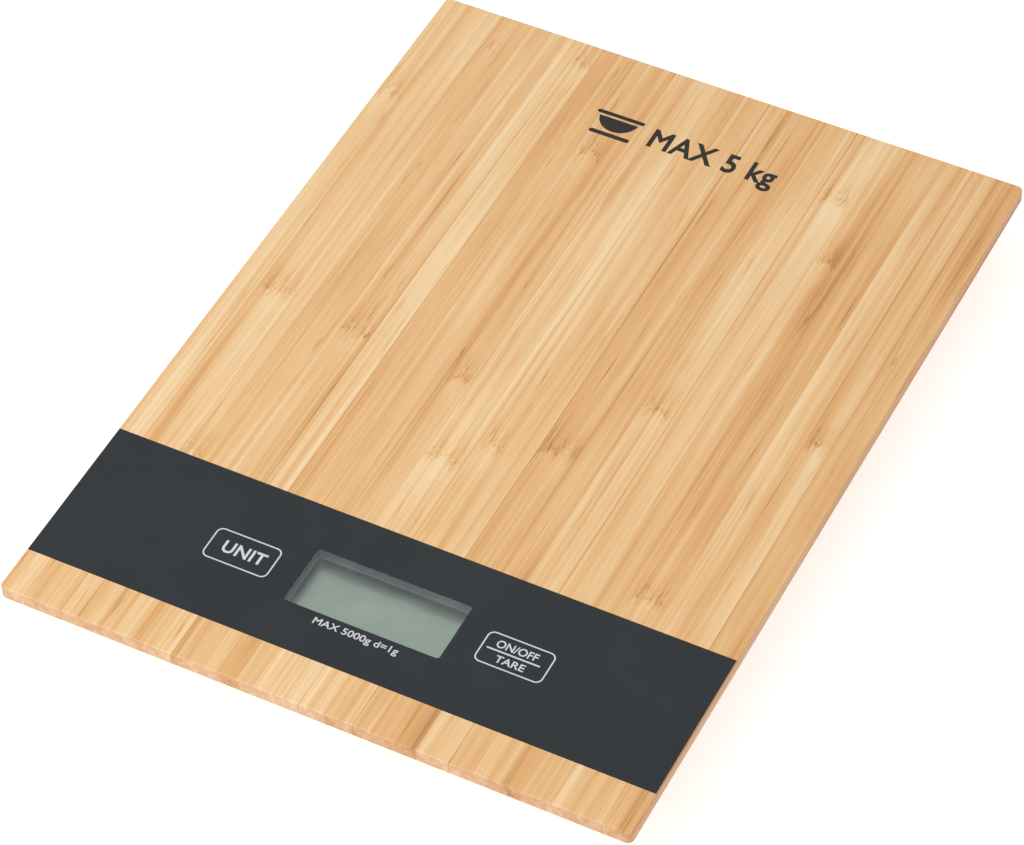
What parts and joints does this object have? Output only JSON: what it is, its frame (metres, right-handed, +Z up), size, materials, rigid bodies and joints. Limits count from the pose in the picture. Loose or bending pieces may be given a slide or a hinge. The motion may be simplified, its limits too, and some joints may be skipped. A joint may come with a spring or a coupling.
{
  "type": "kitchen scale",
  "caption": "Flat digital kitchen scale: a bamboo platform with an inlaid black control panel, display window and two keys on a low plastic case with one load cell.",
  "frame": {"origin": "on the table under the centre of the board's outline", "axes": "+Z up, +Y from the control panel at the front to the rear edge, +X to the user's right"},
  "size_m": [0.16, 0.22, 0.018],
  "materials": {
    "bamboo": "sanded and oiled laminated bamboo",
    "panel_film": "matt printed polyester film",
    "panel_adhesive": "thin double-sided adhesive",
    "clear_window": "clear polyester window",
    "bezel_plastic": "fine matt moulded",
    "lcd_glass": "clear display glass",
    "lcd_face": "grey-green polarizer, satin",
    "lcd_reflector": "satin reflective foil",
    "zebra_rubber": "silicone with black carbon layers",
    "circuit_board": "green solder mask",
    "chip_epoxy": "black epoxy",
    "component_ceramic": "sintered ceramic with tinned ends",
    "switch_plastic": "moulded black",
    "switch_button": "moulded ivory",
    "plunger_plastic": "moulded grey",
    "case_plastic": "fine spark-eroded texture",
    "foam_tape": "white foam tape",
    "foot_rubber": "soft matt rubber",
    "label_paper": "blank silver-grey sticker",
    "cell_aluminium": "milled",
    "spacer_steel": "zinc plated",
    "screw_steel": "zinc plated",
    "gauge_foil": "polyimide foil",
    "sealant": "white silicone",
    "battery_steel": "stainless can",
    "contact_nickel": "nickel plated spring strip",
    "wire_red": "PVC insulation",
    "wire_black": "PVC insulation",
    "wire_green": "PVC insulation",
    "wire_white": "PVC insulation"
  },
  "bodies": {
    "base": {"base_shell": "case_plastic", "foot_front_left": "foot_rubber", "foot_front_right": "foot_rubber", "foot_rear_left": "foot_rubber", "foot_rear_right": "foot_rubber", "underside_label": "label_paper", "lower_spacer": "spacer_steel", "load_cell": "cell_aluminium", "strain_gauges": "gauge_foil", "gauge_sealant": "sealant", "base_cell_screws": "screw_steel", "coin_cell": "battery_steel", "battery_contact_negative": "contact_nickel", "battery_contact_positive": "contact_nickel"},
    "platform": {"bamboo_board": "bamboo", "control_panel": "panel_film", "panel_adhesive": "panel_adhesive", "display_window": "clear_window", "lcd_bezel": "bezel_plastic", "lcd_polarizer": "lcd_face", "lcd_front_glass": "lcd_glass", "lcd_rear_glass": "lcd_glass", "lcd_reflector": "lcd_reflector", "zebra_connector": "zebra_rubber", "main_board": "circuit_board", "chip_blob": "chip_epoxy", "surface_components": "component_ceramic", "pcb_screws": "screw_steel", "unit_switch": "switch_plastic", "tare_switch": "switch_plastic", "platform_carrier": "case_plastic", "mounting_tape": "foam_tape", "upper_spacer": "spacer_steel", "carrier_cell_screws": "screw_steel", "battery_wire_red": "wire_red", "battery_wire_black": "wire_black", "load_cell_wire_red": "wire_red", "load_cell_wire_black": "wire_black", "load_cell_wire_green": "wire_green", "load_cell_wire_white": "wire_white"},
    "unit_key": {"unit_key_pad": "panel_film", "unit_key_plunger": "plunger_plastic", "unit_switch_button": "switch_button"},
    "tare_key": {"tare_key_pad": "panel_film", "tare_key_plunger": "plunger_plastic", "tare_switch_button": "switch_button"},
    "battery_door": {"battery_door": "case_plastic"}
  },
  "joints": [
    {"name": "platform_travel", "type": "slide", "parent": "base", "child": "platform", "axis": [0, 0, 1], "range_m": [-0.0004, 0], "stiffness_N_per_m": 130000, "deforming": ["load_cell", "strain_gauges", "gauge_sealant", "battery_wire_red", "battery_wire_black", "load_cell_wire_red", "load_cell_wire_black", "load_cell_wire_green", "load_cell_wire_white"]},
    {"name": "unit_key_press", "type": "slide", "parent": "platform", "child": "unit_key", "axis": [0, 0, 1], "range_m": [-0.00025, 0], "stiffness_N_per_m": 6000},
    {"name": "tare_key_press", "type": "slide", "parent": "platform", "child": "tare_key", "axis": [0, 0, 1], "range_m": [-0.00025, 0], "stiffness_N_per_m": 6000},
    {"name": "battery_door_turn", "type": "hinge", "parent": "base", "child": "battery_door", "pos_m": [0.03, -0.034, 0.002], "axis": [0, 0, 1], "range_deg": [0, 45]}
  ]
}
